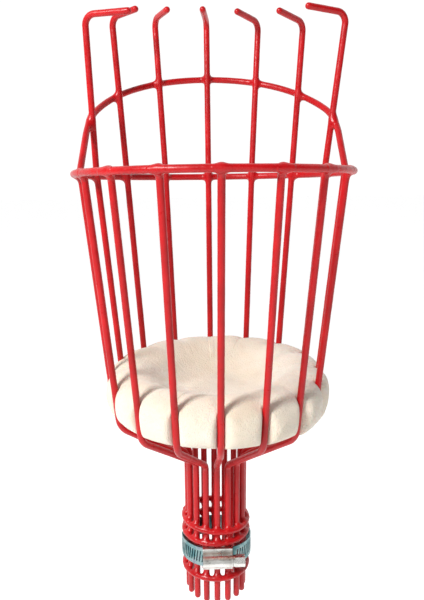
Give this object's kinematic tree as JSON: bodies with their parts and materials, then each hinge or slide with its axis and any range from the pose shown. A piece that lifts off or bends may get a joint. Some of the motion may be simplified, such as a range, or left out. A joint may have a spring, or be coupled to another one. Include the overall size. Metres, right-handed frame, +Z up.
{
  "type": "fruit picker basket",
  "caption": "Coated-wire fruit picking basket with inward-hooked tall tines at the back, a foam pad on its floor and a wire pole socket closed by a worm-drive hose clamp.",
  "frame": {"origin": "centre of the pole socket's lower end, in the plane of the wire ends", "axes": "+Z up along the pole's axis, +Y towards the tall hooked tines at the back, -Y towards the low front ribs and the clamp's housing, +X towards the clamp screw's head"},
  "size_m": [0.1566, 0.1645, 0.3572],
  "materials": {
    "coated_wire": "dip-coated, glossy",
    "foam": "open-cell foam, matte",
    "zinc_band": "zinc plated with a blue-green tint",
    "clamp_steel": "bright zinc plated"
  },
  "bodies": {
    "basket": {"back_tine_1": "coated_wire", "back_tine_2": "coated_wire", "back_tine_3": "coated_wire", "back_tine_4": "coated_wire", "back_tine_5": "coated_wire", "back_tine_6": "coated_wire", "back_tine_7": "coated_wire", "front_rib_1": "coated_wire", "front_rib_2": "coated_wire", "front_rib_3": "coated_wire", "front_rib_4": "coated_wire", "front_rib_5": "coated_wire", "front_rib_6": "coated_wire", "front_rib_7": "coated_wire", "front_rib_8": "coated_wire", "front_rib_9": "coated_wire", "rim_ring": "coated_wire", "back_arch": "coated_wire", "socket_ring_upper": "coated_wire", "socket_ring_middle": "coated_wire", "socket_ring_lower": "coated_wire"},
    "pad": {"foam_pad": "foam"},
    "clamp": {"clamp_band": "zinc_band", "clamp_housing": "clamp_steel"},
    "tail": {"clamp_tail": "zinc_band"},
    "screw": {"clamp_screw": "clamp_steel"}
  },
  "joints": [
    {"name": "pad_lift", "type": "slide", "parent": "basket", "child": "pad", "axis": [0, 0, 1], "range_m": [0, 0.15]},
    {"name": "clamp_swivel", "type": "hinge", "parent": "basket", "child": "clamp", "pos_m": [0, 0, 0.033], "axis": [0, 0, 1], "continuous": true},
    {"name": "screw_turn", "type": "hinge", "parent": "clamp", "child": "screw", "pos_m": [0, -0.02457, 0.03429], "axis": [1, 0, 0], "range_deg": [-720, 720]},
    {"name": "tail_feed", "type": "hinge", "parent": "clamp", "child": "tail", "pos_m": [0, 0, 0.033], "axis": [0, 0.0523, 0.9986], "range_deg": [-10.4, 10.4]}
  ],
  "couplings": [
    {"joint": "tail_feed", "follows": "screw_turn", "ratio": 0.0143}
  ]
}
